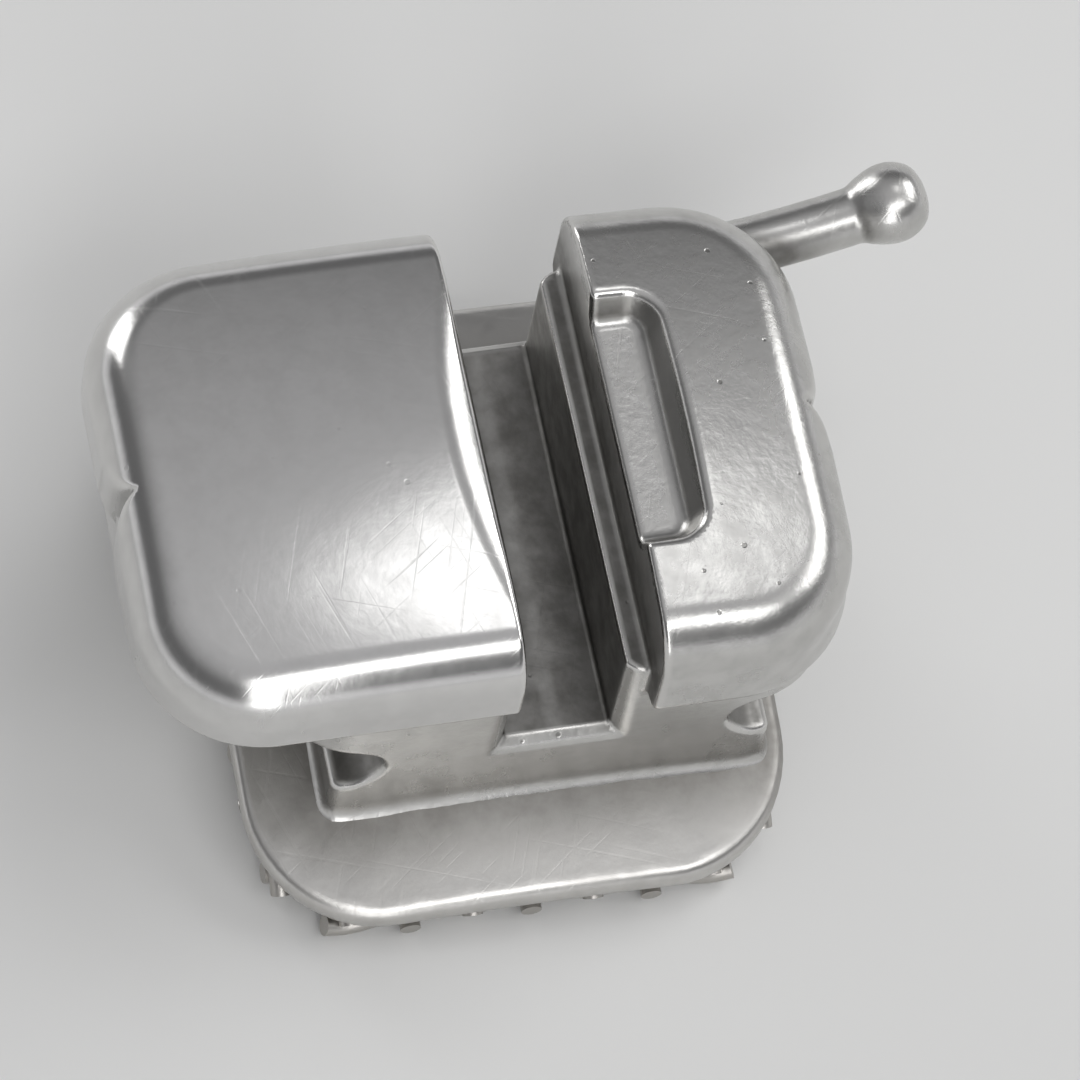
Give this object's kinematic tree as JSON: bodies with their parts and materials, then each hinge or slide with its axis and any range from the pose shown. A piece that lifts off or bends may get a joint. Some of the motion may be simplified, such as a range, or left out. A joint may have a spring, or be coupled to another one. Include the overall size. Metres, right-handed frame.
{
  "type": "self-ligating orthodontic bracket",
  "caption": "Small metal tooth bracket with a sliding door over its archwire slot, a ball hook and a curved mesh bonding base; door shown open.",
  "frame": {"origin": "under the middle of the archwire slot, on the plane that the base's corners rest on", "axes": "+X across the tooth towards the midline, +Y towards the gum, +Z away from the tooth, out of the archwire slot"},
  "size_m": [0.0034, 0.0046, 0.0023],
  "materials": {
    "moulded_steel": "satin, tumbled after metal injection moulding",
    "polished_steel": "polished",
    "spring_alloy": "drawn and rolled",
    "foil_steel": "rolled and pressed",
    "gauze_steel": "matt, brazed and lightly blasted"
  },
  "bodies": {
    "bracket": {"bracket_body": "moulded_steel", "base_pad": "foil_steel", "bonding_mesh": "gauze_steel"},
    "door": {"door": "polished_steel", "spring_pin": "spring_alloy"}
  },
  "joints": [
    {"name": "door_slide", "type": "slide", "parent": "bracket", "child": "door", "axis": [0, 1, 0], "range_m": [0, 0.0006795]}
  ]
}
